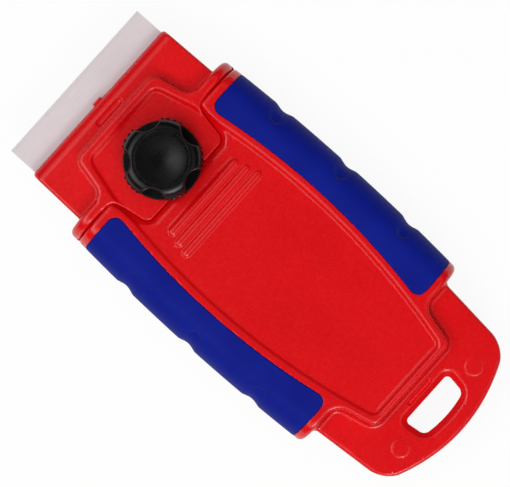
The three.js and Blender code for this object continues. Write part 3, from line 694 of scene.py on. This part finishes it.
def moulded(name, dark, light, rough, cloud, grain_size, grain_depth, specular):
    """Moulded plastic or rubber: slow shifts of shade and gloss, and a fine surface grain"""
    material, nodes, links, shader, place = node_material(name)
    slow = noise(nodes, links, place, cloud, CLOUD_DETAIL)
    fine = noise(nodes, links, place, grain_size, GRAIN_DETAIL)
    blend = ranged(nodes, links, slow, 0, 1)
    links.new(shaded(nodes, links, blend, dark, light), shader.inputs["Base Color"])
    links.new(ranged(nodes, links, fine, *rough), shader.inputs["Roughness"])
    shader.inputs["Specular IOR Level"].default_value = specular
    grain(nodes, links, shader, fine, grain_depth, GRAIN_STRENGTH)
    return material


def ground_steel(name, dark, light, rough, stretch, metallic):
    """Steel with fine grinding lines along Y"""
    material, nodes, links, shader, place = node_material(name)
    scaling = nodes.new("ShaderNodeMapping")
    scaling.inputs["Scale"].default_value = (stretch, 1, stretch)
    links.new(place, scaling.inputs["Vector"])
    lines = noise(nodes, links, scaling.outputs["Vector"], LINE_SIZE, LINE_DETAIL)
    blend = ranged(nodes, links, lines, 0, 1)
    links.new(shaded(nodes, links, blend, dark, light), shader.inputs["Base Color"])
    links.new(ranged(nodes, links, lines, *rough), shader.inputs["Roughness"])
    shader.inputs["Metallic"].default_value = metallic
    grain(nodes, links, shader, lines, LINE_DEPTH, LINE_STRENGTH)
    return material


red_plastic = moulded(
    "red_plastic",
    dark=linear(216, 4, 12),
    light=linear(224, 8, 17),
    rough=(0.24, 0.29),
    cloud=14,
    grain_size=0.9,
    grain_depth=0.0003,
    specular=0.5,
)
blue_grip = moulded(
    "blue_grip",
    dark=linear(9, 23, 128),
    light=linear(13, 29, 138),
    rough=(0.55, 0.65),
    cloud=9,
    grain_size=0.35,
    grain_depth=0.004,
    specular=0.1,
)
black_plastic = moulded(
    "black_plastic",
    dark=linear(3, 2, 2),
    light=linear(6, 4, 4),
    rough=(0.26, 0.32),
    cloud=6,
    grain_size=0.5,
    grain_depth=0.0005,
    specular=0.35,
)
blade_steel = ground_steel(
    "blade_steel",
    dark=linear(225, 214, 217),
    light=linear(230, 220, 223),
    rough=(0.6, 0.68),
    stretch=12,
    metallic=0.3,
)
fastener_steel = ground_steel(
    "fastener_steel",
    dark=linear(178, 178, 180),
    light=linear(205, 205, 206),
    rough=(0.3, 0.42),
    stretch=4,
    metallic=1,
)
finishes = {
    "red_plastic": red_plastic,
    "blue_grip": blue_grip,
    "black_plastic": black_plastic,
    "blade_steel": blade_steel,
    "fastener_steel": fastener_steel,
}

# Pieces
SHELL_VOXEL = 0.16
SMALL_VOXEL = 0.08

pieces = [
    ("top_shell", top_shell, "handle_top_shell", "handle_body", "red_plastic", SHELL_VOXEL),
    ("bottom_shell", bottom_shell, "handle_bottom_shell", "handle_body", "red_plastic", SHELL_VOXEL),
    ("jaw", clamp_jaw, "clamp_jaw", "jaw_body", "red_plastic", SHELL_VOXEL),
    ("left_upper_skin", upper_grip(1), "upper_left_grip", "handle_body", "blue_grip", SHELL_VOXEL),
    ("right_upper_skin", upper_grip(-1), "upper_right_grip", "handle_body", "blue_grip", SHELL_VOXEL),
    ("left_lower_skin", lower_grip(1), "lower_left_grip", "handle_body", "blue_grip", SHELL_VOXEL),
    ("right_lower_skin", lower_grip(-1), "lower_right_grip", "handle_body", "blue_grip", SHELL_VOXEL),
    ("lobed_knob", knob, "knob", "knob_body", "black_plastic", SMALL_VOXEL),
    ("dished_cap", knob_cap, "knob_cap", "knob_body", "black_plastic", SMALL_VOXEL),
]
for name, field, node, body, slot, voxel in pieces:
    piece = meshed(name, field, node, voxel)
    piece.data.materials.append(finishes[slot])
    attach(piece, body)
    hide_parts(node)

for item in frame["record"]["subparts"]:
    if item["material_slot"] in ("blade_steel", "fastener_steel"):
        shown = frame["nodes"][item["node"]]
        shown.data.materials.clear()
        shown.data.materials.append(finishes[item["material_slot"]])

# Floor, light and camera
FLOOR_HALF = 4
FLOOR_SHADE = 0.9
FLOOR_ROUGHNESS = 0.9
FLOOR_GLOW = 0.92
FLOOR_DROP = 0.00002


def floor_material():
    """White to the camera and in reflections, plain for other light, and clear from below"""
    material, nodes, links, shader, _ = node_material("floor_white")
    shader.inputs["Base Color"].default_value = (FLOOR_SHADE, FLOOR_SHADE, FLOOR_SHADE, 1)
    shader.inputs["Roughness"].default_value = FLOOR_ROUGHNESS
    shader.inputs["Specular IOR Level"].default_value = 0
    glow = nodes.new("ShaderNodeEmission")
    path = nodes.new("ShaderNodeLightPath")
    mirrored = nodes.new("ShaderNodeMath")
    mirrored.operation = "MAXIMUM"
    links.new(path.outputs["Is Glossy Ray"], mirrored.inputs[0])
    links.new(path.outputs["Is Transmission Ray"], mirrored.inputs[1])
    seen = nodes.new("ShaderNodeMath")
    seen.operation = "MAXIMUM"
    links.new(path.outputs["Is Camera Ray"], seen.inputs[0])
    links.new(mirrored.outputs[0], seen.inputs[1])
    share = nodes.new("ShaderNodeMath")
    share.operation = "MULTIPLY"
    share.inputs[1].default_value = FLOOR_GLOW
    links.new(seen.outputs[0], share.inputs[0])
    mix = nodes.new("ShaderNodeMixShader")
    links.new(share.outputs[0], mix.inputs["Fac"])
    links.new(shader.outputs["BSDF"], mix.inputs[1])
    links.new(glow.outputs["Emission"], mix.inputs[2])
    below = nodes.new("ShaderNodeMixShader")
    links.new(nodes.new("ShaderNodeNewGeometry").outputs["Backfacing"], below.inputs["Fac"])
    links.new(mix.outputs["Shader"], below.inputs[1])
    links.new(nodes.new("ShaderNodeBsdfTransparent").outputs["BSDF"], below.inputs[2])
    links.new(below.outputs["Shader"], nodes["Material Output"].inputs["Surface"])
    return material


floor_mesh = bpy.data.meshes.new("floor")
corner_signs = [(-1, -1), (1, -1), (1, 1), (-1, 1)]
corners = [(x * FLOOR_HALF, y * FLOOR_HALF, -FLOOR_DROP) for x, y in corner_signs]
floor_mesh.from_pydata(corners, [], [(0, 1, 2, 3)])
floor = bpy.data.objects.new("floor", floor_mesh)
floor.data.materials.append(floor_material())
bpy.context.scene.collection.objects.link(floor)

SENSOR_WIDTH = 36
CAMERA_TURN = 222
CAMERA_PLACE = (3.52, -0.02)
CAMERA_HEIGHT = 420
VIEW_WIDTH = 105.6

camera_data = bpy.data.cameras.new("camera")
camera_data.sensor_width = SENSOR_WIDTH
camera_data.sensor_fit = "HORIZONTAL"
camera_data.lens = SENSOR_WIDTH * CAMERA_HEIGHT / VIEW_WIDTH
camera = bpy.data.objects.new("camera", camera_data)
camera.location = (
    (CAMERA_PLACE[0] + plan_origin[0]) * MM,
    CAMERA_PLACE[1] * MM,
    (blade_plane + CAMERA_HEIGHT) * MM,
)
camera.rotation_euler = (0, 0, math.radians(CAMERA_TURN))
bpy.context.scene.collection.objects.link(camera)
bpy.context.scene.camera = camera

BAND_START = 0.6
BAND_FULL = 0.74
BAND_FADE = 0.86
ZENITH_START = 0.96
BASE_LIGHT = 0.05
BAND_LIGHT = 0.8
BAND_LEAN = 0.9


def studio_world():
    """A band of light all round the sky, stronger to +Y, dark at the horizon and overhead"""
    world = bpy.data.worlds.new("studio")
    world.use_nodes = True
    nodes, links = world.node_tree.nodes, world.node_tree.links
    split = nodes.new("ShaderNodeSeparateXYZ")
    links.new(nodes.new("ShaderNodeTexCoord").outputs["Generated"], split.inputs["Vector"])
    rise = faded(nodes, links, split.outputs["Z"], (BAND_START, 0), (BAND_FULL, 1))
    fall = faded(nodes, links, split.outputs["Z"], (BAND_FADE, 1), (ZENITH_START, 0))
    low, high = BAND_LIGHT * (1 - BAND_LEAN), BAND_LIGHT * (1 + BAND_LEAN)
    lean = faded(nodes, links, split.outputs["Y"], (-1, low), (1, high))
    band = nodes.new("ShaderNodeMath")
    band.operation = "MULTIPLY"
    links.new(rise, band.inputs[0])
    links.new(fall, band.inputs[1])
    light = nodes.new("ShaderNodeMath")
    light.operation = "MULTIPLY_ADD"
    links.new(band.outputs[0], light.inputs[0])
    links.new(lean, light.inputs[1])
    light.inputs[2].default_value = BASE_LIGHT
    links.new(light.outputs[0], nodes["Background"].inputs["Strength"])
    nodes["Background"].inputs["Color"].default_value = (1, 1, 1, 1)
    return world


def faded(nodes, links, value, start, end):
    """A smooth change from one (place, level) to another"""
    fade = nodes.new("ShaderNodeMapRange")
    fade.interpolation_type = "SMOOTHSTEP"
    fade.inputs["From Min"].default_value = start[0]
    fade.inputs["From Max"].default_value = end[0]
    fade.inputs["To Min"].default_value = start[1]
    fade.inputs["To Max"].default_value = end[1]
    links.new(value, fade.inputs["Value"])
    return fade.outputs["Result"]


bpy.context.scene.world = studio_world()

LAMP_DISTANCE = 1.2


def softbox(name, direction, size, power):
    data = bpy.data.lights.new(name, "AREA")
    data.shape = "DISK"
    data.size = size
    data.energy = power
    lamp = bpy.data.objects.new(name, data)
    towards = Vector(direction).normalized()
    lamp.location = towards * LAMP_DISTANCE
    lamp.rotation_euler = towards.to_track_quat("Z", "Y").to_euler()
    bpy.context.scene.collection.objects.link(lamp)
    return lamp


softbox("key", direction=(-0.87, 0.5, 0.95), size=0.42, power=4)
softbox("front", direction=(0.9, 0.38, 2.2), size=0.4, power=0.6)
softbox("left", direction=(0.55, 0.75, 1.1), size=0.8, power=2.5)
overhead = softbox("overhead", direction=(0, 0, 1), size=1.2, power=4.7)
overhead.visible_glossy = False
overhead.data.cycles.use_multiple_importance_sampling = False

bpy.context.scene.view_settings.view_transform = "Standard"
